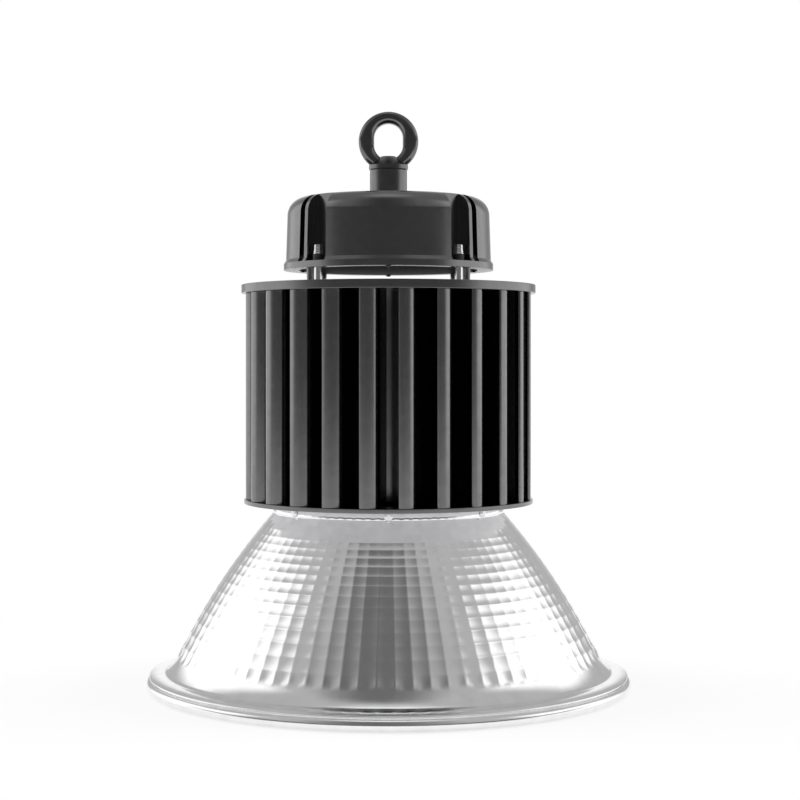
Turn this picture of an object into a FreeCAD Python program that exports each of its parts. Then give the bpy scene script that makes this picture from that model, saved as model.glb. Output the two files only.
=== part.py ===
"""High bay light: a finned heat sink with the lamp under it, a faceted spun reflector below,
and the driver housing with its lifting eye on top.

Millimetres, +Z up.  The origin is the centre of the light opening, in the plane of the rim that
the light stands on; -Y is the front.  Everything is stacked on the axis from the rim upwards.
"""
import FreeCAD
import Part
import Sketcher
import math
import os

# Driving sizes.  Radii are from the axis of the light unless the name says otherwise.
SIZES = {
    # reflector: collar, faceted wall, brim and rolled edge
    "shade_height": 154.4, "shade_sheet": 1.2, "collar_radius": 97.3, "collar_height": 8.0,
    "wall_bottom_radius": 174.3, "wall_bottom_height": 32.0, "wall_bulge": 4.1,
    "facet_columns": 80, "facet_rows": 16, "facet_growth": 1.05, "facet_turn": 1.55,
    "brim_radius": 201.0, "brim_bulge": 2.7,
    "bead_section": 5.8, "bead_lap": 0.8573, "lap_angle": 57.265,
    # screws that hold the reflector to the neck ring
    "neck_screw_count": 7, "neck_screw_drop": 4.4, "neck_screw_head": 3.5, "neck_screw_dome": 2.2,
    "neck_screw_shank": 2.0, "neck_screw_reach": 6.0,
    # neck ring, lens, gasket and the ring that holds the lens
    "neck_gap": 0.15, "neck_ring_depth": 17.0, "neck_step": 3.0, "neck_step_depth": 6.5,
    "neck_bore": 82.0, "lens_radius": 87.0, "lens_thickness": 4.0, "gasket_thickness": 1.5,
    "gasket_width": 4.5, "lens_gap": 0.3, "bezel_thickness": 2.5, "bezel_bore": 80.0,
    "bezel_screw_count": 6, "bezel_screw_radius": 90.3, "bezel_screw_shank": 1.25,
    "bezel_screw_head": 2.1, "bezel_screw_dome": 1.6, "bezel_screw_length": 8.0,
    # light engine
    "pad_thickness": 0.5, "board_radius": 74.0, "board_thickness": 1.6, "chip_side": 5.0,
    "chip_height": 1.0, "chip_ring": 26.0, "chip_ring_step": 18.0, "chips_per_ring": 12,
    "board_screw_radius": 53.0, "board_screw_count": 4, "board_screw_shank": 1.5,
    "board_screw_head": 2.8, "board_screw_dome": 2.0, "board_screw_bite": 2.5,
    # heat sink and its end plates
    "bottom_plate_radius": 121.7, "bottom_plate": 3.4, "sink_length": 172.7,
    "top_plate_radius": 124.0, "top_plate": 7.0, "cable_hole": 9.0,
    "core_radius": 46.0, "core_bore": 30.0, "fin_count": 24, "fin_reach": 120.3, "fin_stem": 3.0,
    "fin_hook": 2.8, "fin_curl_radius": 10.8, "fin_curl_angle": 123.0, "fin_turn": 10.8,
    "port_ring": 64.0, "port_radius": 4.6, "port_turn": 40.8, "port_bore": 2.2,
    "plate_screw_count": 4, "plate_screw_shank": 2.0, "plate_screw_head": 4.0,
    "plate_screw_length": 16.0, "thread_gap": 0.2,
    # driver housing
    "spacer_height": 12.5, "case_height": 63.5, "case_foot_radius": 86.5, "case_top_radius": 84.8,
    "flange_radius": 88.4, "flange_height": 5.2, "flange_cove": 3.0, "roof_rise": 2.5,
    "shoulder_radius": 15.0, "roof_rim_radius": 62.0, "case_bore": 70.0, "roof_thickness": 6.0,
    "pocket_start": 36.0, "pocket_end": 50.3, "slot_start": 53.0, "slot_end": 57.7,
    "pocket_depth_radius": 74.4, "slot_depth_radius": 73.0,
    "foot_ring": 79.4, "foot_angle": 53.5, "foot_radius": 3.4, "foot_taper": 0.5, "stub_height": 5.2,
    "stub_radius": 2.7, "mount_ring": 80.9, "mount_count": 4, "mount_turn": 45.0,
    # driver mounting hardware
    "mount_shank": 2.0, "mount_head": 3.45, "mount_head_height": 7.7, "mount_socket": 1.7,
    "mount_socket_depth": 2.5, "mount_bite": 6.0, "bush_radius": 4.2, "bush_height": 5.3,
    "sleeve_radius": 3.25,
    # driver base plate and electronics
    "base_radius": 75.0, "base_gap": 0.3, "base_thickness": 1.5, "post_height": 6.0,
    "post_radius": 3.0, "post_ring": 58.0, "post_count": 4, "base_screw_ring": 72.4,
    "base_screw_count": 4, "base_screw_shank": 1.25, "base_screw_head": 2.3,
    "base_screw_dome": 1.6, "base_screw_bite": 3.0,
    "circuit_radius": 64.0, "circuit_thickness": 1.6, "choke_length": 42.0, "choke_width": 36.0,
    "choke_height": 30.0, "can_radius": 8.0, "can_height": 26.0, "can_ring": 44.0, "can_count": 3,
    "can_turn": 35.0,
    # cable gland at the back of the driver housing
    "gland_height": 24.0, "gland_boss_radius": 13.0, "gland_boss_reach": 90.0,
    "gland_thread": 8.0, "gland_thread_gap": 0.15, "gland_hex": 11.0, "gland_hex_length": 5.0,
    "gland_nut_radius": 10.0, "gland_nut_length": 15.0, "gland_nut_nose": 3.0, "seal_radius": 6.6,
    "seal_gap": 0.2, "cable_bore": 4.0, "gland_bore": 4.6, "gland_stub": 14.0,
    # lifting eye
    "eye_shank_radius": 15.7, "eye_shank_height": 20.9, "eye_collar_radius": 16.5,
    "eye_collar_height": 5.5, "eye_centre_height": 45.4, "eye_ring_radius": 25.2,
    "eye_hole_radius": 12.1, "eye_hole_stretch": 3.1, "eye_floor": 2.7, "eye_floor_radius": 6.2,
    "eye_thickness": 13.0,
    "eye_rounding": 4.4, "eye_stud_radius": 6.0, "eye_stud_length": 20.0, "eye_stud_gap": 0.2,
    "eye_washer_radius": 12.0, "eye_washer": 1.6, "eye_nut_flats": 19.0, "eye_nut": 6.5,
}

doc = FreeCAD.newDocument("HighBayLight")
sheet = doc.addObject("Spreadsheet::Sheet", "Sizes")
for row, (alias, number) in enumerate(SIZES.items(), start=1):
    sheet.set("A%d" % row, alias)
    sheet.set("B%d" % row, str(number))
    sheet.setAlias("B%d" % row, alias)
doc.recompute()

SUBPARTS = []


def size(alias):
    """The number that a cell of the sheet holds."""
    return float(sheet.get(alias))


def cell(alias):
    """The expression that reads a cell of the sheet."""
    return "Sizes." + alias


# Levels up the axis, as expressions.
PLATE_UNDER = cell("shade_height")
PLATE_OVER = PLATE_UNDER + " + " + cell("bottom_plate")
SINK_TOP = PLATE_OVER + " + " + cell("sink_length")
DECK = SINK_TOP + " + " + cell("top_plate")
CASE_UNDER = DECK + " + " + cell("spacer_height")
FLANGE_TOP = CASE_UNDER + " + " + cell("flange_height")
CASE_TOP = CASE_UNDER + " + " + cell("case_height")
ROOF_UNDER = CASE_TOP + " - " + cell("roof_thickness")
BOARD_OVER = PLATE_UNDER + " - " + cell("pad_thickness")
BOARD_UNDER = BOARD_OVER + " - " + cell("board_thickness")
NECK_UNDER = PLATE_UNDER + " - " + cell("neck_ring_depth")
LENS_OVER = NECK_UNDER + " + " + cell("lens_thickness")
BASE_OVER = CASE_UNDER + " + " + cell("base_thickness")
CIRCUIT_UNDER = BASE_OVER + " + " + cell("post_height")
CIRCUIT_OVER = CIRCUIT_UNDER + " + " + cell("circuit_thickness")
GLAND_LEVEL = CASE_UNDER + " + " + cell("gland_height")
NECK_RADIUS = cell("collar_radius") + " - " + cell("shade_sheet") + " - " + cell("neck_gap")


def body(label, turn="0"):
    """A body for one sub-part, turned about the axis of the light."""
    made = doc.addObject("PartDesign::Body", label)
    made.Label = label
    made.setExpression(".Placement.Rotation.Angle", turn)
    SUBPARTS.append(made)
    return made


def origin_feature(owner, role):
    return next(item for item in owner.Origin.OriginFeatures if item.Role == role)


def sketch(owner, role="XZ_Plane", right="0", up="0", lift="0"):
    """A sketch on one of the body's own origin planes, shifted in the plane and off it."""
    made = owner.newObject("Sketcher::SketchObject", "outline")
    made.AttachmentSupport = [(origin_feature(owner, role), "")]
    made.MapMode = "FlatFace"
    made.setExpression(".AttachmentOffset.Base.x", right)
    made.setExpression(".AttachmentOffset.Base.y", up)
    made.setExpression(".AttachmentOffset.Base.z", lift)
    return made


def drive(drawn, kind, target, expression):
    """One constraint whose value follows the sheet; zero pins the point to the axis."""
    if expression == "0":
        drawn.addConstraint(Sketcher.Constraint("PointOnObject", *target, -2 if kind == "DistanceX" else -1))
        return
    index = drawn.addConstraint(Sketcher.Constraint(kind, -1, 1, *target, 1.0))
    drawn.setExpression("Constraints[%d]" % index, expression)


def outline(drawn, corners):
    """A closed straight-sided outline through corners given as pairs of expressions."""
    first = drawn.GeometryCount
    count = len(corners)
    ring = [FreeCAD.Vector(math.cos(math.tau * n / count), math.sin(math.tau * n / count), 0)
            for n in range(count)]
    for n in range(count):
        drawn.addGeometry(Part.LineSegment(ring[n], ring[(n + 1) % count]), False)
    for n in range(count):
        drawn.addConstraint(Sketcher.Constraint("Coincident", first + n, 2, first + (n + 1) % count, 1))
    for n, (across, along) in enumerate(corners):
        drive(drawn, "DistanceX", (first + n, 1), across)
        drive(drawn, "DistanceY", (first + n, 1), along)


def circle(drawn, radius, across="0", along="0"):
    index = drawn.addGeometry(Part.Circle(FreeCAD.Vector(0, 0, 0), FreeCAD.Vector(0, 0, 1), 1), False)
    if across == "0" and along == "0":
        drawn.addConstraint(Sketcher.Constraint("Coincident", index, 3, -1, 1))
    else:
        drive(drawn, "DistanceX", (index, 3), across)
        drive(drawn, "DistanceY", (index, 3), along)
    ring = drawn.addConstraint(Sketcher.Constraint("Radius", index, 1.0))
    drawn.setExpression("Constraints[%d]" % ring, radius)


def feature(owner, kind, drawn, **settings):
    """A sketch-based feature; settings that are text are expressions."""
    made = owner.newObject("PartDesign::" + kind, kind.lower())
    made.Profile = drawn
    for name, value in settings.items():
        if isinstance(value, str):
            made.setExpression(name, value)
        else:
            setattr(made, name, value)
    drawn.Visibility = False
    owner.Tip = made
    return made


def spun(owner, corners, right="0", kind="Revolution", axis="V_Axis", up="0", role="XZ_Plane"):
    """Revolve a straight-sided section about the upright or level axis of its sketch."""
    drawn = sketch(owner, role, right=right, up=up)
    outline(drawn, corners)
    return feature(owner, kind, drawn, ReferenceAxis=(drawn, [axis]), Angle=360.0)


def disc(owner, radius, level, thickness, bore=None):
    """A flat round plate on a level, with a bore where one is given."""
    drawn = sketch(owner, "XY_Plane", lift=level)
    circle(drawn, radius)
    if bore:
        circle(drawn, bore)
    return feature(owner, "Pad", drawn, Length=thickness)


def around(owner, originals, count):
    """Repeat features evenly about the axis of the light."""
    made = owner.newObject("PartDesign::PolarPattern", "around")
    made.Originals = originals
    made.Axis = (origin_feature(owner, "Z_Axis"), [""])
    made.Angle = 360.0
    made.setExpression("Occurrences", count)
    owner.Tip = made
    return made


def drilled(owner, radius, ring, level, depth, count):
    """Straight holes cut downwards from a level, on a ring about the axis."""
    drawn = sketch(owner, "XY_Plane", lift=level)
    circle(drawn, radius, across=ring)
    cut = feature(owner, "Pocket", drawn, Length=depth)
    return around(owner, [cut], count)


def rounded(owner, sharp, radius, picks):
    """Round the edges of a feature that the test picks."""
    doc.recompute()
    made = owner.newObject("PartDesign::Fillet", "rounding")
    made.Base = (sharp, ["Edge%d" % n for n, edge in enumerate(sharp.Shape.Edges, start=1) if picks(edge)])
    made.setExpression("Radius", radius)
    owner.Tip = made
    return made


def polar(radius, angle, across, along):
    """Corner at a radius and an angle from the front, mirrored by the two signs."""
    return ("%s (%s) * sin(%s)" % (across, radius, angle), "%s (%s) * cos(%s)" % (along, radius, angle))


def pan_screws(label, ring, seat, head, dome, shank, length, count, turn="0"):
    """Pan-head screws driven upwards: the head hangs under its seat, the shank goes up."""
    owner = body(label, turn)
    screw = spun(owner, [
        ("0", "%s - %s" % (seat, dome)), ("%s * 0.6" % head, "%s - %s" % (seat, dome)),
        (head, "%s - %s * 0.4" % (seat, dome)), (head, seat), (shank, seat),
        (shank, "%s + %s" % (seat, length)), ("0", "%s + %s" % (seat, length))], right=ring)
    around(owner, [screw], count)
    return owner


# --- Reflector --------------------------------------------------------------------------------
def arc_points(start, end, bulge, fractions):
    """Points along a circular arc in the section plane, with their outward normals."""
    chord = end - start
    normal = FreeCAD.Vector(-chord.z, 0, chord.x) / chord.Length
    middle = (start + end) / 2 + normal * bulge
    arc = Part.Arc(start, middle, end).toShape()
    span = arc.LastParameter - arc.FirstParameter
    found = [arc.valueAt(arc.FirstParameter + span * part) for part in fractions]
    return [(point, (point - arc.Curve.Center).normalize()) for point in found]


def faceted_wall(section, columns, turn):
    """Flat facets between the turned copies of a closed section: a many-sided spun wall."""
    step = 360.0 / columns
    spokes = []
    for n in range(columns):
        spin = FreeCAD.Rotation(FreeCAD.Vector(0, 0, 1), turn + step * n)
        spokes.append([spin.multVec(point) for point in section])
    faces = []
    for n in range(columns):
        near, far = spokes[n], spokes[(n + 1) % columns]
        for k in range(len(section)):
            nxt = (k + 1) % len(section)
            faces.append(Part.Face(Part.makePolygon([near[k], far[k], far[nxt], near[nxt], near[k]])))
    skin = Part.Compound(faces)
    skin.sewShape()
    return Part.Solid(skin.Shells[0])


def turned(edges):
    """Solid of revolution of a closed section about the axis of the light."""
    return Part.Face(Part.Wire(edges)).revolve(FreeCAD.Vector(0, 0, 0), FreeCAD.Vector(0, 0, 1), 360)


def make_reflector():
    """One spun sheet: straight collar, faceted wall, flared brim and rolled bead."""
    sheet_metal = size("shade_sheet")
    collar = size("collar_radius")
    top = size("shade_height")
    neck = top - size("collar_height")
    rows = int(size("facet_rows"))
    columns = int(size("facet_columns"))
    growth = size("facet_growth")
    wall_end = FreeCAD.Vector(size("wall_bottom_radius"), 0, size("wall_bottom_height"))
    fractions = [(growth ** n - 1) / (growth ** rows - 1) for n in range(rows + 1)]
    wall = arc_points(wall_end, FreeCAD.Vector(collar, 0, neck), -size("wall_bulge"),
                      [1 - part for part in fractions])
    outside = [point for point, normal in wall]
    inside = [point - normal * sheet_metal for point, normal in wall]
    for edge in (0, -1):
        slope = wall[edge][1]
        inside[edge] = outside[edge] - FreeCAD.Vector(sheet_metal / slope.x, 0, 0)
    body_wall = faceted_wall(outside + inside[::-1], columns, size("facet_turn") - 90)

    flat = math.cos(math.pi / columns)
    ring = [FreeCAD.Vector(inside[0].x * flat, 0, neck), FreeCAD.Vector(collar, 0, neck),
            FreeCAD.Vector(collar, 0, top), FreeCAD.Vector(collar - sheet_metal, 0, top),
            FreeCAD.Vector(collar - sheet_metal, 0, neck + sheet_metal),
            FreeCAD.Vector(inside[0].x * flat, 0, neck)]
    collar_ring = turned(Part.makePolygon(ring).Edges)

    bead_section = size("bead_section")
    lap = math.radians(size("lap_angle"))
    over = bead_section + size("bead_lap")
    brim_end = FreeCAD.Vector(size("brim_radius"), 0, bead_section + over * math.sin(lap))
    outer = arc_points(wall_end, brim_end, size("brim_bulge"), (0, 0.5, 1))
    inner = [FreeCAD.Vector(inside[-1].x * flat, 0, wall_end.z),
             outer[1][0] - outer[1][1] * sheet_metal, outer[2][0] - outer[2][1] * sheet_metal]
    brim = turned([
        Part.Arc(outer[0][0], outer[1][0], outer[2][0]).toShape(),
        Part.LineSegment(outer[2][0], inner[2]).toShape(),
        Part.Arc(inner[2], inner[1], inner[0]).toShape(),
        Part.LineSegment(inner[0], outer[0][0]).toShape()])
    bead = Part.makeTorus(brim_end.x - over * math.cos(lap), bead_section,
                          FreeCAD.Vector(0, 0, bead_section))
    made = body_wall.fuse([collar_ring, brim, bead])

    drop = top - size("neck_screw_drop")
    count = int(size("neck_screw_count"))
    holes = [Part.makeCylinder(size("neck_screw_shank") + size("thread_gap"), collar + sheet_metal,
                               FreeCAD.Vector(0, 0, drop),
                               FreeCAD.Rotation(FreeCAD.Vector(0, 0, 1), 360.0 * n / count).multVec(
                                   FreeCAD.Vector(0, -1, 0)))
             for n in range(count)]
    return made.cut(holes)


reflector = doc.addObject("Part::Feature", "reflector")
reflector.Label = "reflector"
reflector.Shape = make_reflector()
SUBPARTS.append(reflector)

# --- Reflector screws: pan heads on the outside of the collar, driven inwards -----------------
screws = body("reflector_screws")
collar_face = cell("collar_radius")
head_tip = collar_face + " + " + cell("neck_screw_dome")
head_edge = collar_face + " + " + cell("neck_screw_dome") + " * 0.4"
shank_end = collar_face + " - " + cell("neck_screw_reach")
screw = spun(screws, [
    (shank_end, "0"), (shank_end, cell("neck_screw_shank")), (collar_face, cell("neck_screw_shank")),
    (collar_face, cell("neck_screw_head")), (head_edge, cell("neck_screw_head")),
    (head_tip, cell("neck_screw_head") + " * 0.6"), (head_tip, "0")],
    axis="H_Axis", up=PLATE_UNDER + " - " + cell("neck_screw_drop"))
around(screws, [screw], cell("neck_screw_count"))
screws.setExpression(".Placement.Rotation.Angle", "-90")

# --- Neck ring: carries the reflector outside and the lens inside ------------------------------
neck_ring = body("neck_ring")
step_radius = NECK_RADIUS + " - " + cell("neck_step")
step_level = PLATE_UNDER + " - " + cell("neck_step_depth")
lens_seat = cell("lens_radius") + " + " + cell("lens_gap")
gasket_over = LENS_OVER + " + " + cell("gasket_thickness")
spun(neck_ring, [
    (cell("neck_bore"), gasket_over), (cell("neck_bore"), PLATE_UNDER), (NECK_RADIUS, PLATE_UNDER),
    (NECK_RADIUS, step_level), (step_radius, step_level), (step_radius, NECK_UNDER),
    (lens_seat, NECK_UNDER), (lens_seat, gasket_over)])
tapped = sketch(neck_ring, up=PLATE_UNDER + " - " + cell("neck_screw_drop"))
circle(tapped, cell("neck_screw_shank") + " + " + cell("thread_gap"))
tap = feature(neck_ring, "Pocket", tapped, Length=NECK_RADIUS + " + 1", Reversed=True)
around(neck_ring, [tap], cell("neck_screw_count"))
drilled(neck_ring, cell("bezel_screw_shank") + " + " + cell("thread_gap"), cell("bezel_screw_radius"),
        NECK_UNDER + " + " + cell("bezel_screw_length"), cell("bezel_screw_length") + " + 1",
        cell("bezel_screw_count"))

# --- Lens, its gasket, the bezel under it and the bezel's screws -------------------------------
lens = body("lens")
disc(lens, cell("lens_radius"), NECK_UNDER, cell("lens_thickness"))

gasket = body("lens_gasket")
disc(gasket, cell("lens_radius"), LENS_OVER, cell("gasket_thickness"),
     bore=cell("lens_radius") + " - " + cell("gasket_width"))

bezel = body("lens_bezel")
disc(bezel, step_radius, NECK_UNDER + " - " + cell("bezel_thickness"), cell("bezel_thickness"),
     bore=cell("bezel_bore"))
drilled(bezel, cell("bezel_screw_shank") + " + " + cell("thread_gap"), cell("bezel_screw_radius"),
        NECK_UNDER + " + 1", cell("bezel_thickness") + " + 2", cell("bezel_screw_count"))

pan_screws("bezel_screws", cell("bezel_screw_radius"), NECK_UNDER + " - " + cell("bezel_thickness"),
           cell("bezel_screw_head"), cell("bezel_screw_dome"), cell("bezel_screw_shank"),
           cell("bezel_screw_length"), cell("bezel_screw_count"))

# --- Light engine: thermal pad, board, chips and the board's screws ----------------------------
board_hole = cell("board_screw_shank") + " + " + cell("thread_gap")
pad = body("thermal_pad")
disc(pad, cell("board_radius"), BOARD_OVER, cell("pad_thickness"), bore=cell("cable_hole"))
drilled(pad, board_hole, cell("board_screw_radius"), PLATE_UNDER + " + 1",
        cell("pad_thickness") + " + 2", cell("board_screw_count"))

board = body("led_board")
disc(board, cell("board_radius"), BOARD_UNDER, cell("board_thickness"), bore=cell("cable_hole"))
drilled(board, board_hole, cell("board_screw_radius"), BOARD_OVER + " + 1",
        cell("board_thickness") + " + 2", cell("board_screw_count"))

chips = body("led_chips", turn="360 / %s / 2" % cell("chips_per_ring"))
for ring_number in range(3):
    ring = "%s + %d * %s" % (cell("chip_ring"), ring_number, cell("chip_ring_step"))
    chip = sketch(chips, "XY_Plane", right=ring, lift=BOARD_UNDER + " - " + cell("chip_height"))
    half = cell("chip_side") + " / 2"
    outline(chip, [("-" + half, "-" + half), (half, "-" + half), (half, half), ("-" + half, half)])
    made = feature(chips, "Pad", chip, Length=cell("chip_height"))
    around(chips, [made], cell("chips_per_ring"))

pan_screws("board_screws", cell("board_screw_radius"), BOARD_UNDER, cell("board_screw_head"),
           cell("board_screw_dome"), cell("board_screw_shank"),
           "%s + %s + %s" % (cell("board_thickness"), cell("pad_thickness"), cell("board_screw_bite")),
           cell("board_screw_count"))


# --- Heat sink: extruded core with hooked fins and screw ports ---------------------------------
def fin_section():
    """One fin across the extrusion, drawn with its stem along +X and its hook to the left."""
    curl = size("fin_curl_radius")
    half_stem = size("fin_stem") / 2
    inner = curl - size("fin_hook")
    side = half_stem - curl
    turn = math.radians(size("fin_curl_angle"))
    centre = math.sqrt((size("fin_reach") - curl) ** 2 - side ** 2)
    root = size("core_radius") * 0.9

    def at(radius, angle):
        return FreeCAD.Vector(centre + radius * math.sin(angle), side + radius * math.cos(angle), 0)

    corner_root = FreeCAD.Vector(root, half_stem, 0)
    inner_root = FreeCAD.Vector(root, -half_stem, 0)
    inner_start = math.acos((-half_stem - side) / inner)
    return Part.Face(Part.Wire([
        Part.LineSegment(corner_root, at(curl, 0)).toShape(),
        Part.Arc(at(curl, 0), at(curl, turn / 2), at(curl, turn)).toShape(),
        Part.LineSegment(at(curl, turn), at(inner, turn)).toShape(),
        Part.Arc(at(inner, turn), at(inner, (turn + inner_start) / 2), at(inner, inner_start)).toShape(),
        Part.LineSegment(at(inner, inner_start), inner_root).toShape(),
        Part.LineSegment(inner_root, corner_root).toShape()]))


def make_heat_sink():
    """Hollow core, fins and ports extruded together, with the screw bores through the ports."""
    base = FreeCAD.Vector(0, 0, size("shade_height") + size("bottom_plate"))
    length = size("sink_length")
    up = FreeCAD.Vector(0, 0, 1)
    core = Part.makeCylinder(size("core_radius"), length, base)
    count = int(size("fin_count"))
    fins = []
    for n in range(count):
        fin = fin_section().extrude(up * length)
        fin.translate(base)
        fin.rotate(FreeCAD.Vector(0, 0, 0), up, size("fin_turn") - 90 + 360.0 * n / count)
        fins.append(fin)
    bores = [Part.makeCylinder(size("core_bore"), length, base)]
    ports = int(size("plate_screw_count"))
    for n in range(ports):
        spin = FreeCAD.Rotation(up, size("port_turn") - 90 + 360.0 * n / ports)
        place = base + spin.multVec(FreeCAD.Vector(size("port_ring"), 0, 0))
        fins.append(Part.makeCylinder(size("port_radius"), length, place))
        bores.append(Part.makeCylinder(size("port_bore"), length, place))
    return core.fuse(fins).cut(bores).removeSplitter()


heat_sink = doc.addObject("Part::Feature", "heat_sink")
heat_sink.Label = "heat_sink"
heat_sink.Shape = make_heat_sink()
SUBPARTS.append(heat_sink)

# --- End plates of the heat sink and the countersunk screws that hold them ---------------------
PORT_TURN = cell("port_turn") + " - 90"
screw_radius = cell("plate_screw_shank") + " + " + cell("thread_gap")
sink_radius = cell("plate_screw_head") + " + " + cell("thread_gap")
sink_depth = cell("plate_screw_head") + " - " + cell("plate_screw_shank")

top_plate = body("top_plate", PORT_TURN)
disc(top_plate, cell("top_plate_radius"), SINK_TOP, cell("top_plate"), bore=cell("cable_hole"))
over = DECK + " + 1"
under = SINK_TOP + " - 1"
hole = spun(top_plate, [
    ("0", under), (screw_radius, under), (screw_radius, "%s - (%s)" % (DECK, sink_depth)),
    (sink_radius, DECK), (sink_radius, over), ("0", over)], right=cell("port_ring"), kind="Groove")
around(top_plate, [hole], cell("plate_screw_count"))
mount_hole = sketch(top_plate, "XY_Plane", lift=DECK)
mount_angle = "(%s - %s)" % (cell("mount_turn"), cell("port_turn"))
circle(mount_hole, cell("mount_shank") + " + " + cell("thread_gap"),
       across="%s * cos(%s)" % (cell("mount_ring"), mount_angle),
       along="%s * sin(%s)" % (cell("mount_ring"), mount_angle))
thread = feature(top_plate, "Pocket", mount_hole, Length=cell("mount_bite"))
around(top_plate, [thread], cell("mount_count"))

bottom_plate = body("bottom_plate", PORT_TURN)
disc(bottom_plate, cell("bottom_plate_radius"), PLATE_UNDER, cell("bottom_plate"),
     bore=cell("cable_hole"))
over = PLATE_OVER + " + 1"
under = PLATE_UNDER + " - 1"
hole = spun(bottom_plate, [
    ("0", under), (sink_radius, under), (sink_radius, PLATE_UNDER),
    (screw_radius, "%s + %s" % (PLATE_UNDER, sink_depth)), (screw_radius, over), ("0", over)],
    right=cell("port_ring"), kind="Groove")
around(bottom_plate, [hole], cell("plate_screw_count"))
board_tap = sketch(bottom_plate, "XY_Plane", lift=PLATE_UNDER)
board_angle = "(90 - %s)" % cell("port_turn")
circle(board_tap, board_hole, across="%s * cos(%s)" % (cell("board_screw_radius"), board_angle),
       along="%s * sin(%s)" % (cell("board_screw_radius"), board_angle))
blind = feature(bottom_plate, "Pocket", board_tap, Length=cell("board_screw_bite"), Reversed=True)
around(bottom_plate, [blind], cell("board_screw_count"))


def countersunk_screws(label, face, inwards):
    """Screws flush with a plate's face, driven along the sign into the ports of the heat sink."""
    owner = body(label, PORT_TURN)
    depth = "%s %s (%s)" % (face, inwards, sink_depth)
    end = "%s %s %s" % (face, inwards, cell("plate_screw_length"))
    made = spun(owner, [
        ("0", face), (cell("plate_screw_head"), face), (cell("plate_screw_shank"), depth),
        (cell("plate_screw_shank"), end), ("0", end)], right=cell("port_ring"))
    around(owner, [made], cell("plate_screw_count"))


countersunk_screws("top_plate_screws", DECK, "-")
countersunk_screws("bottom_plate_screws", PLATE_UNDER, "+")

# --- Driver housing: one casting with a flange, cut corner pockets, feet and a gland boss -------
case = body("driver_case")
roof_edge = CASE_TOP + " - " + cell("roof_rise")
base_seat = cell("base_radius") + " + " + cell("base_gap")
turning = spun(case, [
    (cell("case_bore"), BASE_OVER), (base_seat, BASE_OVER), (base_seat, CASE_UNDER),
    (cell("flange_radius"), CASE_UNDER),
    (cell("flange_radius"), FLANGE_TOP), (cell("case_foot_radius"), FLANGE_TOP + " + " + cell("flange_cove")),
    (cell("case_top_radius"), roof_edge), (cell("roof_rim_radius"), roof_edge),
    (cell("eye_shank_radius"), CASE_TOP), ("0", CASE_TOP), ("0", ROOF_UNDER),
    (cell("case_bore"), ROOF_UNDER)])
rounded(case, turning, cell("shoulder_radius"),
        lambda edge: isinstance(edge.Curve, Part.Circle)
        and abs(edge.Curve.Radius - size("case_top_radius")) < 1e-6)
far = cell("flange_radius") + " + 5"
cuts = ((cell("pocket_start"), cell("pocket_end"), cell("pocket_depth_radius")),
        (cell("slot_start"), cell("slot_end"), cell("slot_depth_radius")))
recess = sketch(case, "XY_Plane", lift=CASE_TOP + " + 1")
for across in ("1 *", "-1 *"):
    for along in ("1 *", "-1 *"):
        for start, end, depth in cuts:
            outline(recess, [polar(depth, start, across, along), polar(far, start, across, along),
                             polar(far, end, across, along), polar(depth, end, across, along)])
feature(case, "Pocket", recess, Length=cell("case_height") + " - " + cell("flange_height") + " + 1")
foot_top = FLANGE_TOP + " + " + cell("stub_height")
for across in (1, -1):
    for along in (1, -1):
        foot = sketch(case, right="%d * %s * sin(%s)" % (across, cell("foot_ring"), cell("foot_angle")),
                      lift="%d * %s * cos(%s)" % (along, cell("foot_ring"), cell("foot_angle")))
        outline(foot, [
            ("0", DECK), (cell("foot_radius") + " - " + cell("foot_taper"), DECK),
            (cell("foot_radius"), CASE_UNDER), (cell("foot_radius"), FLANGE_TOP),
            (cell("stub_radius"), FLANGE_TOP), (cell("stub_radius"), foot_top), ("0", foot_top)])
        feature(case, "Revolution", foot, ReferenceAxis=(foot, ["V_Axis"]), Angle=360.0)
boss = sketch(case, up=GLAND_LEVEL, lift="-1 * " + cell("gland_boss_reach"))
circle(boss, cell("gland_boss_radius"))
feature(case, "Pad", boss, Length=cell("gland_boss_reach") + " - " + cell("case_bore") + " - 4")
inlet = sketch(case, up=GLAND_LEVEL, lift="-1 * " + cell("gland_boss_reach"))
circle(inlet, cell("gland_thread") + " + " + cell("gland_thread_gap"))
feature(case, "Pocket", inlet, Length=cell("gland_boss_reach") + " - " + cell("case_bore") + " + 5",
        Reversed=True)
stud_hole = sketch(case, "XY_Plane", lift=CASE_TOP + " + 1")
circle(stud_hole, cell("eye_stud_radius") + " + " + cell("eye_stud_gap"))
feature(case, "Pocket", stud_hole, Length=cell("roof_thickness") + " + 2")
screw_way = sketch(case, "XY_Plane", lift=FLANGE_TOP)
mount_at = cell("mount_ring") + " * cos(" + cell("mount_turn") + ")"
circle(screw_way, cell("mount_shank") + " + " + cell("thread_gap"), across=mount_at, along=mount_at)
way = feature(case, "Pocket", screw_way, Length=cell("flange_height") + " + 1")
around(case, [way], cell("mount_count"))
base_tap = sketch(case, "XY_Plane", lift=BASE_OVER)
base_hole = cell("base_screw_shank") + " + " + cell("thread_gap")
circle(base_tap, base_hole, across=cell("base_screw_ring"))
blind = feature(case, "Pocket", base_tap, Length=cell("base_screw_bite"), Reversed=True)
around(case, [blind], cell("base_screw_count"))

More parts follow.
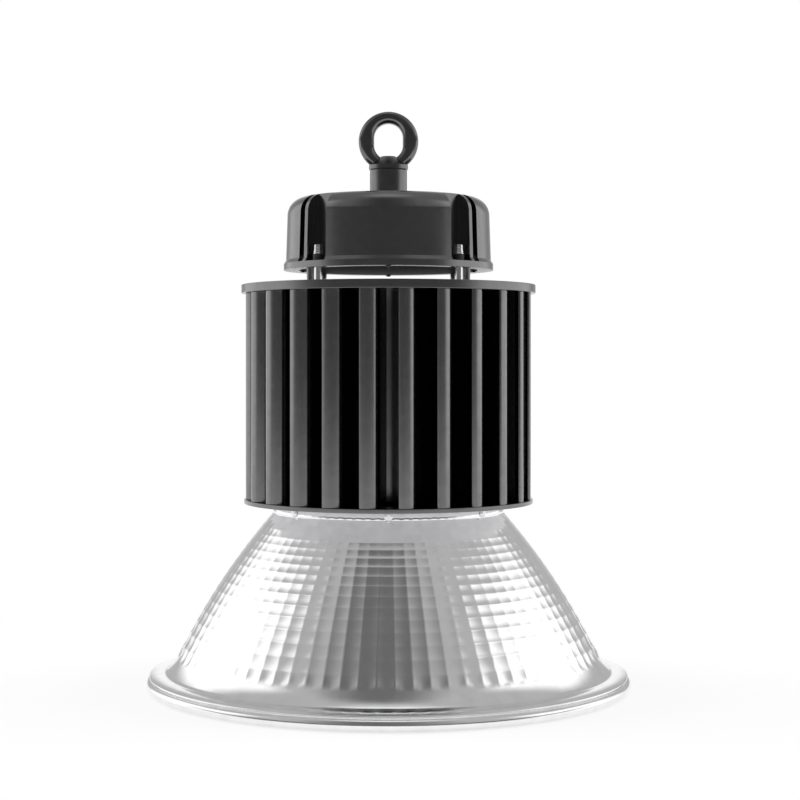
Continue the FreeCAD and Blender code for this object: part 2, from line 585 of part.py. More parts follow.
# --- Driver mounting: cap screws on rubber bushes, with steel sleeves under the flange ----------
bush_over = FLANGE_TOP + " + " + cell("bush_height")
head_over = bush_over + " + " + cell("mount_head_height")
socket_floor = head_over + " - " + cell("mount_socket_depth")
screw_end = DECK + " - " + cell("mount_bite")
driver_screws = body("driver_screws", cell("mount_turn"))
cap = spun(driver_screws, [
    ("0", socket_floor), (cell("mount_socket"), socket_floor), (cell("mount_socket"), head_over),
    (cell("mount_head"), head_over), (cell("mount_head"), bush_over), (cell("mount_shank"), bush_over),
    (cell("mount_shank"), screw_end), ("0", screw_end)], right=cell("mount_ring"))
around(driver_screws, [cap], cell("mount_count"))


def tubes(label, radius, bottom, top):
    """Plain tubes round the driver screws, between two levels."""
    owner = body(label, cell("mount_turn"))
    bore = cell("mount_shank") + " + " + cell("thread_gap")
    made = spun(owner, [(bore, bottom), (radius, bottom), (radius, top), (bore, top)],
                right=cell("mount_ring"))
    around(owner, [made], cell("mount_count"))


tubes("driver_bushes", cell("bush_radius"), FLANGE_TOP, bush_over)
tubes("spacer_sleeves", cell("sleeve_radius"), DECK, CASE_UNDER)

# --- Driver base plate with posts, its screws, and the circuit that stands on the posts ----------
base_plate = body("driver_base_plate")
disc(base_plate, cell("base_radius"), CASE_UNDER, cell("base_thickness"))
drilled(base_plate, base_hole, cell("base_screw_ring"), BASE_OVER + " + 1",
        cell("base_thickness") + " + 2", cell("base_screw_count"))
post = sketch(base_plate, "XY_Plane", lift=BASE_OVER)
circle(post, cell("post_radius"), across=cell("post_ring"))
raised = feature(base_plate, "Pad", post, Length=cell("post_height"))
around(base_plate, [raised], cell("post_count"))

pan_screws("base_screws", cell("base_screw_ring"), CASE_UNDER, cell("base_screw_head"),
           cell("base_screw_dome"), cell("base_screw_shank"),
           cell("base_thickness") + " + " + cell("base_screw_bite"), cell("base_screw_count"))

circuit = body("driver_circuit")
disc(circuit, cell("circuit_radius"), CIRCUIT_UNDER, cell("circuit_thickness"))

choke = body("driver_choke")
winding = sketch(choke, "XY_Plane", lift=CIRCUIT_OVER)
half_length = cell("choke_length") + " / 2"
half_width = cell("choke_width") + " / 2"
outline(winding, [("-" + half_length, "-" + half_width), (half_length, "-" + half_width),
                  (half_length, half_width), ("-" + half_length, half_width)])
feature(choke, "Pad", winding, Length=cell("choke_height"))

cans = body("driver_capacitors", cell("can_turn"))
can = sketch(cans, "XY_Plane", lift=CIRCUIT_OVER)
circle(can, cell("can_radius"), across=cell("can_ring"))
standing = feature(cans, "Pad", can, Length=cell("can_height"))
around(cans, [standing], cell("can_count"))

# --- Cable gland at the back: threaded body, domed nut and the rubber seal inside it ------------
gland_face = cell("gland_boss_reach") + " + " + cell("gland_hex_length")
nut_end = gland_face + " + " + cell("gland_nut_length")
nose_start = nut_end + " - " + cell("gland_nut_nose")
stub_end = cell("gland_boss_reach") + " - " + cell("gland_stub")
gland_body = body("gland_body")
hexagon = sketch(gland_body, up=GLAND_LEVEL, lift="-1 * (%s)" % gland_face)
hex_corner = cell("gland_hex") + " / cos(30)"
outline(hexagon, [("%s * cos(%d)" % (hex_corner, 60 * n), "%s * sin(%d)" % (hex_corner, 60 * n))
                  for n in range(6)])
circle(hexagon, cell("gland_bore"))
feature(gland_body, "Pad", hexagon, Length=cell("gland_hex_length"))
spun(gland_body, [
    (stub_end, cell("gland_bore")), (stub_end, cell("gland_thread")),
    (cell("gland_boss_reach"), cell("gland_thread")), (cell("gland_boss_reach"), cell("gland_bore"))],
    axis="H_Axis", up=GLAND_LEVEL, role="YZ_Plane")

gland_nut = body("gland_nut")
seal_room = cell("seal_radius") + " + " + cell("seal_gap")
spun(gland_nut, [
    (gland_face, seal_room), (gland_face, cell("gland_nut_radius")),
    (nose_start, cell("gland_nut_radius")), (nut_end, seal_room), (nut_end, cell("gland_bore")),
    (nose_start, cell("gland_bore")), (nose_start, seal_room)],
    axis="H_Axis", up=GLAND_LEVEL, role="YZ_Plane")

gland_seal = body("gland_seal")
spun(gland_seal, [
    (gland_face, cell("cable_bore")), (gland_face, cell("seal_radius")),
    (nose_start, cell("seal_radius")), (nose_start, cell("cable_bore"))],
    axis="H_Axis", up=GLAND_LEVEL, role="YZ_Plane")

# --- Lifting eye: cast ring on a round shank, with the stud, washer and nut under the roof ------
eye = body("lifting_eye")
EYE_CENTRE = CASE_TOP + " + " + cell("eye_centre_height")
half_eye = cell("eye_thickness") + " / 2"
ring = sketch(eye, up=EYE_CENTRE, lift="-" + half_eye)
circle(ring, cell("eye_ring_radius"))
feature(eye, "Pad", ring, Length=cell("eye_thickness"))
stretch = cell("eye_hole_stretch")
for shift in (stretch, "-" + stretch):
    hole = sketch(eye, up="%s + (%s)" % (EYE_CENTRE, shift), lift=half_eye)
    circle(hole, cell("eye_hole_radius"))
    feature(eye, "Pocket", hole, Length=cell("eye_thickness"))
hole = sketch(eye, up=EYE_CENTRE, lift=half_eye)
side = cell("eye_hole_radius")
outline(hole, [("-" + side, "-" + stretch), (side, "-" + stretch), (side, stretch), ("-" + side, stretch)])
oval = feature(eye, "Pocket", hole, Length=cell("eye_thickness"))
faces_across = size("eye_thickness") / 2
rounded(eye, oval, cell("eye_rounding"),
        lambda edge: all(abs(abs(vertex.Y) - faces_across) < 1e-6 for vertex in edge.Vertexes)
        and abs(abs(edge.CenterOfMass.y) - faces_across) < 1e-6)
shank_top = CASE_TOP + " + " + cell("eye_shank_height")
eye_floor = "%s - %s - %s + %s" % (EYE_CENTRE, stretch, cell("eye_hole_radius"), cell("eye_floor"))
collar_top = shank_top + " + " + cell("eye_collar_height")
stud_end = CASE_TOP + " - " + cell("eye_stud_length")
spun(eye, [
    ("0", stud_end), (cell("eye_stud_radius"), stud_end), (cell("eye_stud_radius"), CASE_TOP),
    (cell("eye_shank_radius"), CASE_TOP), (cell("eye_shank_radius"), shank_top),
    (cell("eye_collar_radius"), shank_top + " + 1"), (cell("eye_collar_radius"), collar_top + " - 1"),
    (cell("eye_floor_radius"), eye_floor), ("0", eye_floor)])

washer_under = ROOF_UNDER + " - " + cell("eye_washer")
nut_under = washer_under + " - " + cell("eye_nut")
stud_way = cell("eye_stud_radius") + " + " + cell("eye_stud_gap")
washer = body("eye_washer")
disc(washer, cell("eye_washer_radius"), washer_under, cell("eye_washer"), bore=stud_way)

nut = body("eye_nut")
flats = sketch(nut, "XY_Plane", lift=nut_under)
nut_corner = cell("eye_nut_flats") + " / 2 / cos(30)"
outline(flats, [("%s * cos(%d)" % (nut_corner, 60 * n), "%s * sin(%d)" % (nut_corner, 60 * n))
                for n in range(6)])
circle(flats, stud_way)
feature(nut, "Pad", flats, Length=cell("eye_nut"))

# --- Check every object, then write one file per sub-part ---------------------------------------
doc.recompute()
for item in doc.Objects:
    if "Invalid" in item.State or "Error" in item.State:
        raise RuntimeError("%s failed: %s" % (item.Label, item.State))
os.makedirs("parts", exist_ok=True)
for item in SUBPARTS:
    if item.Shape.isNull() or not item.Shape.isValid():
        raise RuntimeError("%s has no valid shape" % item.Label)
    item.Shape.exportStep(os.path.join("parts", item.Label + ".step"))
    print("%-22s solids %3d  faces %5d  volume %10.1f" % (
        item.Label, len(item.Shape.Solids), len(item.Shape.Faces), item.Shape.Volume))
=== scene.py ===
"""High bay light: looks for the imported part.  Metres, +Z up, rim on z = 0, -Y is the front."""
import bpy
import bmesh
import math
from mathutils import Matrix, Vector


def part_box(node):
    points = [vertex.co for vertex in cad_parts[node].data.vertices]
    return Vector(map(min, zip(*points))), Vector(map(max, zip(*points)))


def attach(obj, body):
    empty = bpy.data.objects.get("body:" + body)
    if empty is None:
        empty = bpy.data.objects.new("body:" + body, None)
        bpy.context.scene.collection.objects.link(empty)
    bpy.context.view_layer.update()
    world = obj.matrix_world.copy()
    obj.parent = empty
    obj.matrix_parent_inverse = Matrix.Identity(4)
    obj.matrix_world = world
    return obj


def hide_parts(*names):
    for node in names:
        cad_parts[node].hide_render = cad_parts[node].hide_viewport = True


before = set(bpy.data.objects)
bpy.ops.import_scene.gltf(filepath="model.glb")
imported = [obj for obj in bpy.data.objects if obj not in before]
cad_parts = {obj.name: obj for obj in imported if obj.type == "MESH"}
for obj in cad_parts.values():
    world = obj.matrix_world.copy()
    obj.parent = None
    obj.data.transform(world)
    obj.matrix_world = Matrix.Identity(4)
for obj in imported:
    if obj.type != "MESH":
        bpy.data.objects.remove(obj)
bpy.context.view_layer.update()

# --- Studio -----------------------------------------------------------------------------------
# A white floor and backdrop.  The satin metal and the black coats reflect a grey room with a
# large soft box on either side, a paler ceiling and a dark space behind the camera.
scene = bpy.context.scene
scene.view_settings.view_transform = "Standard"

camera = bpy.data.cameras.new("camera")
camera.lens = 81.0
camera.shift_x = 0.0144
camera.shift_y = -0.0438
viewer = bpy.data.objects.new("camera", camera)
viewer.location = (0.0, -1.522, 0.2703)
viewer.rotation_euler = (math.radians(90), 0.0, 0.0)
scene.collection.objects.link(viewer)
scene.camera = viewer


def chain(tree, kind, sources, **settings):
    """A node whose first inputs come from sockets or plain numbers; returns its first output."""
    made = tree.nodes.new(kind)
    for name, value in settings.items():
        setattr(made, name, value)
    for slot, source in enumerate(sources):
        if isinstance(source, bpy.types.NodeSocket):
            tree.links.new(source, made.inputs[slot])
        elif source is not None:
            made.inputs[slot].default_value = source
    return made.outputs[0]


def ramp(tree, value, start, end, low=0.0, high=1.0):
    """A smooth step of a value between two limits."""
    return chain(tree, "ShaderNodeMapRange", (value, start, end, low, high),
                 interpolation_type="SMOOTHSTEP")


def swing(tree, angle, start, end, low=0.0, high=1.0):
    """A smooth step of an angle between two limits in degrees."""
    return ramp(tree, angle, math.radians(start), math.radians(end), low, high)


def times(tree, *values):
    """The product of several values."""
    product = values[0]
    for value in values[1:]:
        product = chain(tree, "ShaderNodeMath", (product, value), operation="MULTIPLY")
    return product


def plus(tree, *values):
    """The sum of several values."""
    total = values[0]
    for value in values[1:]:
        total = chain(tree, "ShaderNodeMath", (total, value), operation="ADD")
    return total


studio = bpy.data.worlds.new("studio")
studio.use_nodes = True
scene.world = studio
tree = studio.node_tree
tree.nodes.clear()
direction = chain(tree, "ShaderNodeTexCoord", ())
split = tree.nodes.new("ShaderNodeSeparateXYZ")
tree.links.new(direction, split.inputs[0])
across, away, upward = split.outputs
sideways = chain(tree, "ShaderNodeMath", (across,), operation="ABSOLUTE")
towards = chain(tree, "ShaderNodeMath", (away, -1.0), operation="MULTIPLY")
bearing = chain(tree, "ShaderNodeMath", (sideways, towards), operation="ARCTAN2")
rise = chain(tree, "ShaderNodeMath", (upward,), operation="ARCSINE")

# Each soft box has a front, a back, a top and a bottom edge.  Bearing is 0 at the camera and 180
# degrees behind the light; the top edge falls away towards the back.
front_edge = plus(tree, bearing, times(tree, across, 0.06))
back_edge = plus(tree, bearing, times(tree, rise, 0.5), times(tree, across, 0.1))
top_edge = plus(tree, rise, times(tree, bearing, 0.27), times(tree, across, 0.03))
box_light = times(tree, swing(tree, front_edge, 60, 86), swing(tree, back_edge, 153, 140),
                  swing(tree, top_edge, 73, 63), swing(tree, rise, -50, -25))

# The dark space narrows overhead.  Low down it reaches round to the soft boxes.
off_centre = chain(tree, "ShaderNodeMath", (plus(tree, across, 0.07),), operation="ABSOLUTE")
spread = chain(tree, "ShaderNodeMath", (off_centre, plus(tree, towards, 0.35)), operation="DIVIDE")
dark_side = times(tree, ramp(tree, spread, 0.75, 0.06), ramp(tree, towards, 0.17, 0.38))
reach_round = plus(tree, bearing, swing(tree, rise, 4, 12, 0.0, math.radians(-45)))
dark_low = times(tree, swing(tree, reach_round, 75, 42), swing(tree, rise, 21, 13))
dark = chain(tree, "ShaderNodeMath", (dark_side, dark_low), operation="MAXIMUM")
lit = times(tree, box_light, ramp(tree, dark_low, 0.0, 1.0, 1.0, 0.0))
ceiling = swing(tree, rise, 70, 84)
grey_wall = 0.46
room = plus(tree, grey_wall, times(tree, lit, 0.75), times(tree, dark, -0.31),
            times(tree, ceiling, 0.4))
background = tree.nodes.new("ShaderNodeBackground")
tree.links.new(room, background.inputs["Color"])
white = tree.nodes.new("ShaderNodeBackground")
white.inputs["Color"].default_value = (1.0, 1.0, 1.0, 1.0)
rays = tree.nodes.new("ShaderNodeLightPath")
both = tree.nodes.new("ShaderNodeMixShader")
backdrop = times(tree, swing(tree, bearing, 163, 170), swing(tree, rise, 35, 20))
tree.links.new(plus(tree, rays.outputs["Is Camera Ray"], rays.outputs["Is Transmission Ray"],
                    times(tree, rays.outputs["Is Glossy Ray"], backdrop)), both.inputs[0])
tree.links.new(background.outputs[0], both.inputs[1])
tree.links.new(white.outputs[0], both.inputs[2])
world_out = tree.nodes.new("ShaderNodeOutputWorld")
tree.links.new(both.outputs[0], world_out.inputs[0])

floor_mesh = bpy.data.meshes.new("floor")
plot = bmesh.new()
bmesh.ops.create_grid(plot, x_segments=8, y_segments=8, size=3.0)
plot.to_mesh(floor_mesh)
plot.free()
floor = bpy.data.objects.new("floor", floor_mesh)
scene.collection.objects.link(floor)
floor_paint = bpy.data.materials.new("pale_floor")
floor_paint.use_nodes = True
tree = floor_paint.node_tree
shader = tree.nodes["Principled BSDF"]
shader.inputs["Base Color"].default_value = (0.9, 0.9, 0.9, 1.0)
shader.inputs["Roughness"].default_value = 0.9
shader.inputs["Specular IOR Level"].default_value = 0.1
glow = tree.nodes.new("ShaderNodeEmission")
glow.inputs["Strength"].default_value = 1.0
place = tree.nodes.new("ShaderNodeTexCoord")
distance = tree.nodes.new("ShaderNodeVectorMath")
distance.operation = "LENGTH"
tree.links.new(place.outputs["Object"], distance.inputs[0])
blend = tree.nodes.new("ShaderNodeMixShader")
rays = tree.nodes.new("ShaderNodeLightPath")
sight = plus(tree, rays.outputs["Is Camera Ray"], rays.outputs["Is Glossy Ray"],
             rays.outputs["Is Transmission Ray"])
least_glow = 0.3
more_glow = ramp(tree, distance.outputs["Value"], 0.2, 0.55, 0.42, 1.0 - least_glow)
tree.links.new(plus(tree, least_glow, times(tree, sight, more_glow)), blend.inputs[0])
tree.links.new(shader.outputs[0], blend.inputs[1])
tree.links.new(glow.outputs[0], blend.inputs[2])
tree.links.new(blend.outputs[0], tree.nodes["Material Output"].inputs[0])
floor_mesh.materials.append(floor_paint)

# The lamps light the object but aren't seen in it; the room's soft boxes are.
for label, place, turn, width, height, power in (
        ("left_box", (-1.6, 0.35, 1.0), (68, 0, -102), 1.4, 1.8, 18.0),
        ("right_box", (1.6, 0.35, 1.0), (68, 0, 102), 1.4, 1.8, 18.0),
        ("top_box", (0.0, -0.2, 2.2), (0, 0, 0), 1.6, 1.6, 16.0)):
    lamp = bpy.data.lights.new(label, "AREA")
    lamp.shape = "RECTANGLE"
    lamp.size = width
    lamp.size_y = height
    lamp.energy = power
    stand = bpy.data.objects.new(label, lamp)
    stand.location = place
    stand.rotation_euler = [math.radians(angle) for angle in turn]
    stand.visible_glossy = False
    scene.collection.objects.link(stand)

# --- Reflector --------------------------------------------------------------------------------
# One aluminium sheet, spun over a former and pressed into rows of dished facets.  It has a
# straight collar at the neck, a plain flare under the facets, and an edge rolled into a bead.
mm = 0.001


def coat(name, dark, light, metallic, rough, grain, bump, stretch=(1.0, 1.0, 1.0)):
    """A material whose colour, roughness and height follow noise; grain is its size in metres."""
    made = bpy.data.materials.new(name)
    made.use_nodes = True
    tree = made.node_tree
    shader = tree.nodes["Principled BSDF"]
    shader.inputs["Metallic"].default_value = metallic
    place = tree.nodes.new("ShaderNodeTexCoord")
    mapping = tree.nodes.new("ShaderNodeMapping")
    mapping.inputs["Scale"].default_value = stretch
    tree.links.new(place.outputs["Object"], mapping.inputs["Vector"])
    fine = tree.nodes.new("ShaderNodeTexNoise")
    fine.inputs["Scale"].default_value = 1.0 / grain
    fine.inputs["Detail"].default_value = 3.0
    tree.links.new(mapping.outputs[0], fine.inputs["Vector"])
    broad = tree.nodes.new("ShaderNodeTexNoise")
    broad_to_fine = 0.06
    broad.inputs["Scale"].default_value = broad_to_fine / grain
    broad.inputs["Detail"].default_value = 2.0
    tree.links.new(place.outputs["Object"], broad.inputs["Vector"])
    noise_low, noise_high = 0.3, 0.7
    shades = tree.nodes.new("ShaderNodeValToRGB")
    shades.color_ramp.elements[0].position = noise_low
    shades.color_ramp.elements[1].position = noise_high
    shades.color_ramp.elements[0].color = (*dark, 1.0)
    shades.color_ramp.elements[1].color = (*light, 1.0)
    tree.links.new(broad.outputs[0], shades.inputs[0])
    tree.links.new(shades.outputs[0], shader.inputs["Base Color"])
    roughness = chain(tree, "ShaderNodeMapRange", (fine.outputs[0], noise_low, noise_high, *rough))
    tree.links.new(roughness, shader.inputs["Roughness"])
    relief = tree.nodes.new("ShaderNodeBump")
    relief.inputs["Strength"].default_value = 1.0
    relief.inputs["Distance"].default_value = bump
    tree.links.new(fine.outputs[0], relief.inputs["Height"])
    tree.links.new(relief.outputs[0], shader.inputs["Normal"])
    return made


def piece(name, mesh, material, slot, *nodes):
    """A finished piece that rides on the light and stands for CAD nodes."""
    for face in mesh.polygons:
        face.use_smooth = True
    mesh.materials.clear()
    mesh.materials.append(material)
    made = bpy.data.objects.new(name, mesh)
    scene.collection.objects.link(made)
    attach(made, "root")
    if nodes:
        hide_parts(*nodes)
    return made


def lathe(name, section, steps):
    """A mesh of one section, a list of (radius, height), spun about the axis."""
    points = []
    faces = []
    count = len(section)
    for step in range(steps):
        angle = math.tau * step / steps
        points += [(radius * math.cos(angle), radius * math.sin(angle), height)
                   for radius, height in section]
        here = step * count
        there = (step + 1) % steps * count
        faces += [(here + n, there + n, there + n + 1, here + n + 1) for n in range(count - 1)]
    mesh = bpy.data.meshes.new(name)
    mesh.from_pydata(points, [], faces)
    skin = bmesh.new()
    skin.from_mesh(mesh)
    bmesh.ops.remove_doubles(skin, verts=skin.verts, dist=1e-7)
    bmesh.ops.recalc_face_normals(skin, faces=skin.faces)
    skin.to_mesh(mesh)
    skin.free()
    return mesh


def bend(start, end, bulge, fractions):
    """Points (radius, height) along an arc from start to end that bulges to its left."""
    chord = Vector(end) - Vector(start)
    left = Vector((-chord.y, chord.x)).normalized()
    half = chord.length / 2
    radius = (half ** 2 + bulge ** 2) / (2 * abs(bulge))
    side = math.copysign(1.0, bulge)
    centre = (Vector(start) + Vector(end)) / 2 - left * side * (radius - abs(bulge))
    reach = 2 * math.asin(half / radius)
    first = Vector(start) - centre
    return [centre + Vector((first.x * math.cos(a) - first.y * math.sin(a),
                             first.x * math.sin(a) + first.y * math.cos(a)))
            for a in (-side * reach * part for part in fractions)]


shade_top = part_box("reflector")[1].z
collar_radius = 97.3 * mm
collar_foot = shade_top - 8.0 * mm
wall_foot = (177.4 * mm, 25.9 * mm)
flare_foot = (187.0 * mm, 14.5 * mm)
brim_end = (200.5 * mm, 11.7 * mm)
sheet = 1.2 * mm
columns = 80
rows = 16
growth = 1.045
facet_turn = math.radians(1.55)
wall_lean = Vector((0.83, 0.56))
dish_across = 0.087
dish_down = 0.042
across_steps = (0.0, 0.08, 0.36, 0.64, 0.92)
row_steps = (0.0, 0.09, 0.36, 0.64, 0.91)
last_steps = (0.0, 0.09, 0.3, 0.5, 0.64, 0.76, 0.86, 0.94)


def facet_depth(radius, half_height, u, v, last):
    """How deep a facet is pressed in, at u and v from -1 to 1 over its width and height.
    The last row's facets end in a round lobe."""
    half_width = radius * math.sin(math.pi / columns)
    wide = (1 / dish_across + 1 / radius) * half_width ** 2 / 2
    tall = half_height ** 2 / dish_down / 2
    if not last:
        return wide * (1 - u * u) + tall * (1 - v * v)
    if v < 0:
        return (wide + tall * (1 - v * v)) * (1 - u * u)
    return (wide + tall) * max(0.0, 1 - u * u - v * v)


wall = []
for row in range(rows):
    last = row == rows - 1
    start, end = [(growth ** n - 1) / (growth ** rows - 1) for n in (row, row + 1)]
    for part in last_steps if last else row_steps:
        wall.append((start + (end - start) * part, start, end, 2 * part - 1, last))
wall.append((1.0, start, 1.0, 1.0, True))
wall_hollow = 4.5 * mm
profile = bend(wall_foot, (collar_radius, collar_foot), -wall_hollow,
               [1 - place for place, *_ in wall])
wall_length = math.hypot(wall_foot[0] - collar_radius, wall_foot[1] - collar_foot)
points = []
around = columns * len(across_steps)
brim = (bend(wall_foot, flare_foot, -0.5 * mm, (0.12, 0.35, 0.6, 0.82, 0.95))
        + bend(flare_foot, brim_end, 0.8 * mm, (0.05, 0.2, 0.4, 0.6, 0.75, 0.88, 1.0)))
for spoke in range(around):
    column, place = divmod(spoke, len(across_steps))
    angle = facet_turn - math.pi / 2 + math.tau * (column + across_steps[place]) / columns
    u = 2 * across_steps[place] - 1
    ray = (math.cos(angle), math.sin(angle))
    points.append((collar_radius * ray[0], collar_radius * ray[1], shade_top))
    points.append((collar_radius * ray[0], collar_radius * ray[1], collar_foot + 0.5 * mm))
    for (_, start, end, v, last), (radius, height) in zip(wall, profile):
        depth = facet_depth(radius, (end - start) * wall_length / 2, u, v, last)
        radius -= depth * wall_lean.x
        points.append((radius * ray[0], radius * ray[1], height - depth * wall_lean.y))
    for radius, height in brim:
        points.append((radius * ray[0], radius * ray[1], height))
stride = len(points) // around
faces = [(spoke * stride + n, (spoke + 1) % around * stride + n,
          (spoke + 1) % around * stride + n + 1, spoke * stride + n + 1)
         for spoke in range(around) for n in range(stride - 1)]
shade_mesh = bpy.data.meshes.new("faceted_shade")
shade_mesh.from_pydata(points, [], [face[::-1] for face in faces])
spun = coat("spun_aluminium", (0.86, 0.86, 0.865), (0.93, 0.93, 0.93), 1.0, (0.1, 0.17), 0.9 * mm,
            0.004 * mm, stretch=(0.08, 0.08, 1.0))
shade = piece("faceted_shade", shade_mesh, spun, "spun_aluminium", "reflector")
thickness = shade.modifiers.new("sheet", "SOLIDIFY")
thickness.thickness = sheet
thickness.offset = -1.0
bead_radius = 5.0 * mm
bead_ring = 198.2 * mm
bead_steps = 28
bead = [(bead_ring + bead_radius * math.cos(math.tau * n / bead_steps),
         bead_radius + bead_radius * math.sin(math.tau * n / bead_steps))
        for n in range(bead_steps + 1)]
piece("rolled_edge", lathe("rolled_edge", bead, 240), spun, "spun_aluminium", "reflector")

# --- Reflector screws -------------------------------------------------------------------------
# Seven stainless pan heads stand round the collar.  They are driven through the sheet into the
# neck ring and hold the reflector to it.
stainless = coat("stainless", (0.72, 0.72, 0.73), (0.86, 0.86, 0.87), 1.0, (0.08, 0.16), 0.5 * mm,
                 0.004 * mm)


least_fold = math.radians(25)


def softened(name, node, material, slot, width, segments=2, tips=None):
    """A piece that stands for a CAD node: its form with the sharp edges rounded.
    tips is a radius and a width: upright edges past that radius get that width first."""
    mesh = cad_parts[node].data.copy()
    mesh.name = name
    skin = bmesh.new()
    skin.from_mesh(mesh)
    bmesh.ops.remove_doubles(skin, verts=skin.verts, dist=2e-6)
    bmesh.ops.dissolve_limit(skin, angle_limit=math.radians(0.6), verts=skin.verts,
                             edges=skin.edges)
    if tips:
        inner, wide = tips
        upright = [edge for edge in skin.edges if edge.is_manifold
                   and edge.calc_face_angle(0.0) > least_fold
                   and all(math.hypot(*vert.co.xy) > inner for vert in edge.verts)
                   and abs(edge.verts[0].co.z - edge.verts[1].co.z) > 0.9 * edge.calc_length()]
        bmesh.ops.bevel(skin, geom=upright, offset=wide, segments=4, affect="EDGES", profile=0.5,
                        clamp_overlap=True)
    sharp = [edge for edge in skin.edges
             if edge.is_manifold and edge.calc_face_angle(0.0) > least_fold]
    bmesh.ops.bevel(skin, geom=sharp, offset=width, segments=segments, affect="EDGES", profile=0.5,
                    clamp_overlap=True)
    skin.to_mesh(mesh)
    skin.free()
    made = piece(name, mesh, material, slot, node)
    mesh.set_sharp_from_angle(angle=math.radians(50))
    flat = made.modifiers.new("flat_faces", "WEIGHTED_NORMAL")
    flat.keep_sharp = True
    return made


softened("collar_screws", "reflector_screws", stainless, "stainless", 0.5 * mm, 3)

# --- Neck ring, lens and its bezel ------------------------------------------------------------
# A turned and anodised ring inside the collar holds the clear lens, with a rubber gasket above
# it and a flat bezel under it that six small screws hold up.
anodised = coat("black_anodise", (0.16, 0.16, 0.165), (0.185, 0.185, 0.19), 1.0, (0.2, 0.27),
                0.4 * mm, 0.003 * mm)
softened("turned_neck_ring", "neck_ring", anodised, "black_anodise", 0.3 * mm)
softened("bezel_ring", "lens_bezel", anodised, "black_anodise", 0.3 * mm)
softened("bezel_pan_screws", "bezel_screws", stainless, "stainless", 0.3 * mm)
rubber = coat("black_rubber", (0.018, 0.018, 0.018), (0.035, 0.035, 0.035), 0.0, (0.55, 0.75),
              0.7 * mm, 0.02 * mm)
softened("gasket_ring", "lens_gasket", rubber, "black_rubber", 0.3 * mm)
glass = coat("clear_glass", (0.93, 0.95, 0.95), (0.97, 0.98, 0.98), 0.0, (0.02, 0.05),
             2.0 * mm, 0.001 * mm)
glass.node_tree.nodes["Principled BSDF"].inputs["Transmission Weight"].default_value = 0.95
softened("lens_disc", "lens", glass, "clear_glass", 0.4 * mm)

# --- Light engine -----------------------------------------------------------------------------
# A white masked board on a grey thermal pad under the bottom plate, with three rings of square
# chips whose phosphor is yellow when they are off, and four small screws.
silicone = coat("grey_pad", (0.36, 0.37, 0.39), (0.45, 0.46, 0.48), 0.0, (0.6, 0.8),
                0.8 * mm, 0.02 * mm)
softened("soft_pad", "thermal_pad", silicone, "grey_pad", 0.15 * mm)
mask = coat("white_board", (0.78, 0.79, 0.78), (0.86, 0.87, 0.86), 0.0, (0.3, 0.42),
            1.2 * mm, 0.006 * mm)
softened("masked_board", "led_board", mask, "white_board", 0.15 * mm)
phosphor = coat("led_phosphor", (0.8, 0.62, 0.14), (0.9, 0.74, 0.24), 0.0, (0.25, 0.4),
                0.3 * mm, 0.01 * mm)
softened("phosphor_chips", "led_chips", phosphor, "led_phosphor", 0.35 * mm, 3)
softened("board_pan_screws", "board_screws", stainless, "stainless", 0.4 * mm)

# --- Heat sink --------------------------------------------------------------------------------
# One aluminium extrusion sawn to length: a hollow core with hooked fins and four screw ports,
# with a satin black coat that shows faint draw lines along the fins.
fin_coat = coat("fin_coat", (0.19, 0.19, 0.194), (0.215, 0.215, 0.219), 1.0, (0.17, 0.23),
                0.5 * mm, 0.004 * mm, stretch=(1.0, 1.0, 0.12))
fin_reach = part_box("heat_sink")[1].x
softened("hooked_fins", "heat_sink", fin_coat, "fin_coat", 0.5 * mm,
         tips=(fin_reach - 2.0 * mm, 2.2 * mm))

# --- End plates -------------------------------------------------------------------------------
# Two turned aluminium plates with broken edges close the extrusion.  Countersunk screws run
# through them into its ports.  The lower plate's underside is left bare and turned smooth.
plate_coat = coat("plate_coat", (0.18, 0.18, 0.184), (0.2, 0.2, 0.204), 1.0, (0.18, 0.24),
                  0.6 * mm, 0.003 * mm)
softened("upper_plate", "top_plate", plate_coat, "plate_coat", 0.9 * mm, 3)
lower_plate = softened("lower_plate", "bottom_plate", plate_coat, "plate_coat", 0.6 * mm, 3)
bare_face = coat("bare_face", (0.6, 0.6, 0.61), (0.68, 0.68, 0.69), 1.0, (0.3, 0.4),
                 0.5 * mm, 0.004 * mm)
lower_plate.data.materials.append(bare_face)
for face in lower_plate.data.polygons:
    if face.normal.z < -0.9:
        face.material_index = 1
softened("upper_flat_screws", "top_plate_screws", stainless, "stainless", 0.1 * mm)
softened("lower_flat_screws", "bottom_plate_screws", stainless, "stainless", 0.1 * mm)

# --- Driver: base plate and circuit -----------------------------------------------------------
# A pressed plate with four posts closes the housing from below and carries the circuit board
# with its wound choke and three capacitors.
# The base plate's near-black colour is painted shade: it stands for the dark, shadowed gap between
# the upper plate and the housing.
base_painted_shade = coat("base_sheet", (0.008, 0.008, 0.008), (0.014, 0.014, 0.015), 0.0, (0.5, 0.65),
                  0.5 * mm, 0.004 * mm)
softened("base_closing_plate", "driver_base_plate", base_painted_shade, "base_sheet", 0.3 * mm)
softened("base_pan_screws", "base_screws", stainless, "stainless", 0.35 * mm)
green = coat("circuit_board", (0.02, 0.1, 0.045), (0.03, 0.16, 0.07), 0.0, (0.3, 0.45),
             0.8 * mm, 0.01 * mm)
softened("driver_board", "driver_circuit", green, "circuit_board", 0.15 * mm)
tape = coat("choke_core", (0.55, 0.4, 0.06), (0.72, 0.56, 0.12), 0.0, (0.35, 0.5),
            1.0 * mm, 0.03 * mm)
softened("taped_choke", "driver_choke", tape, "choke_core", 2.0 * mm, 4)
shrink_sleeve = coat("capacitor_can", (0.03, 0.035, 0.05), (0.05, 0.055, 0.08), 0.0, (0.2, 0.35),
                     1.0 * mm, 0.006 * mm)
softened("sleeved_capacitors", "driver_capacitors", shrink_sleeve, "capacitor_can", 1.0 * mm, 4)

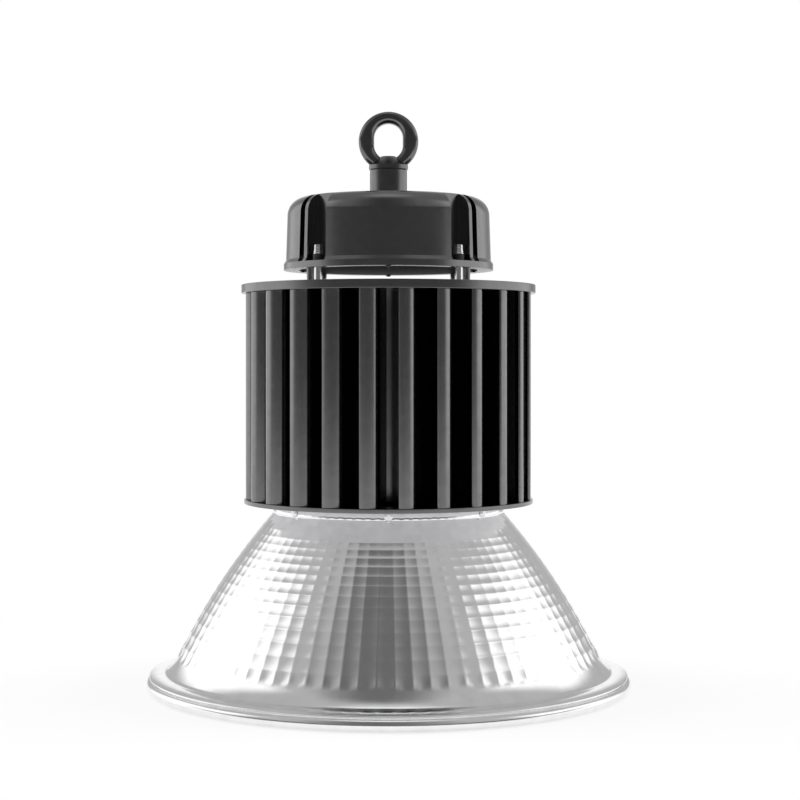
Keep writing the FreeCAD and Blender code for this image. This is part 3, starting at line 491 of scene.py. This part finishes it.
# --- Driver housing ---------------------------------------------------------------------------
# A die-cast cup with rounded shoulders, cut away at four corners for the screws, and powder
# coated satin black with a fine orange peel.
case_coat = coat("case_coat", (0.18, 0.18, 0.183), (0.2, 0.2, 0.203), 1.0, (0.18, 0.24), 0.45 * mm,
                 0.004 * mm)
softened("cast_housing", "driver_case", case_coat, "case_coat", 0.8 * mm, 3)

# --- Driver mounting --------------------------------------------------------------------------
# Stainless cap screws with washers stand on ribbed rubber bushes in the cut corners, and steel
# sleeves hold the housing clear of the upper plate.
softened("cap_screws", "driver_screws", stainless, "stainless", 0.4 * mm, 3)
head_radius = 3.45 * mm
head_height = 7.7 * mm
washer_bore = 2.2 * mm
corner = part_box("driver_screws")[1]
mount_reach = corner.x - head_radius
stacks = bmesh.new()
# Three rings in each stack: underside and top over the bush, and the rim's radius, in mm.
for low, high, rim in ((0.0, 1.0, 4.1), (1.3, 2.9, 3.8), (4.6, 5.3, 3.6)):
    low, high, rim, edge = low * mm, high * mm, rim * mm, 0.2 * mm
    section = [(washer_bore, low), (rim - edge, low), (rim, low + edge), (rim, high - edge),
               (rim - edge, high), (washer_bore, high)]
    for side_x, side_y in ((1, 1), (-1, 1), (-1, -1), (1, -1)):
        ring = lathe("ring", section, 48)
        ring.transform(Matrix.Translation((side_x * mount_reach, side_y * mount_reach,
                                           corner.z - head_height)))
        stacks.from_mesh(ring)
washers = bpy.data.meshes.new("washer_stacks")
stacks.to_mesh(washers)
stacks.free()
piece("washer_stacks", washers, stainless, "stainless")
washers.set_sharp_from_angle(angle=math.radians(40))
softened("steel_sleeves", "spacer_sleeves", stainless, "stainless", 0.2 * mm)
softened("ribbed_bushes", "driver_bushes", rubber, "black_rubber", 0.5 * mm, 3)

# --- Cable gland ------------------------------------------------------------------------------
# A moulded polyamide body with a domed nut and a rubber seal, the cable's way in.  It is screwed
# into the housing's boss at the back.
polyamide = coat("gland_plastic", (0.02, 0.02, 0.021), (0.032, 0.032, 0.034), 0.0, (0.38, 0.5),
                 0.6 * mm, 0.015 * mm)
softened("gland_hexagon", "gland_body", polyamide, "gland_plastic", 0.5 * mm)
softened("gland_dome", "gland_nut", polyamide, "gland_plastic", 0.8 * mm, 3)
softened("cable_seal", "gland_seal", rubber, "black_rubber", 0.3 * mm)

# --- Lifting eye ------------------------------------------------------------------------------
# A cast ring on a round shank with a flared collar, coated satin black.  Its stud goes through
# the roof of the housing to a washer and nut.
eye_coat = coat("eye_coat", (0.15, 0.15, 0.153), (0.18, 0.18, 0.183), 1.0, (0.15, 0.22), 0.5 * mm,
                0.004 * mm)
softened("cast_eye", "lifting_eye", eye_coat, "eye_coat", 0.5 * mm)
zinc = coat("zinc_steel", (0.5, 0.5, 0.52), (0.64, 0.64, 0.65), 1.0, (0.25, 0.4),
            0.6 * mm, 0.008 * mm)
softened("zinc_washer", "eye_washer", zinc, "zinc_steel", 0.2 * mm)
softened("zinc_nut", "eye_nut", zinc, "zinc_steel", 0.4 * mm)
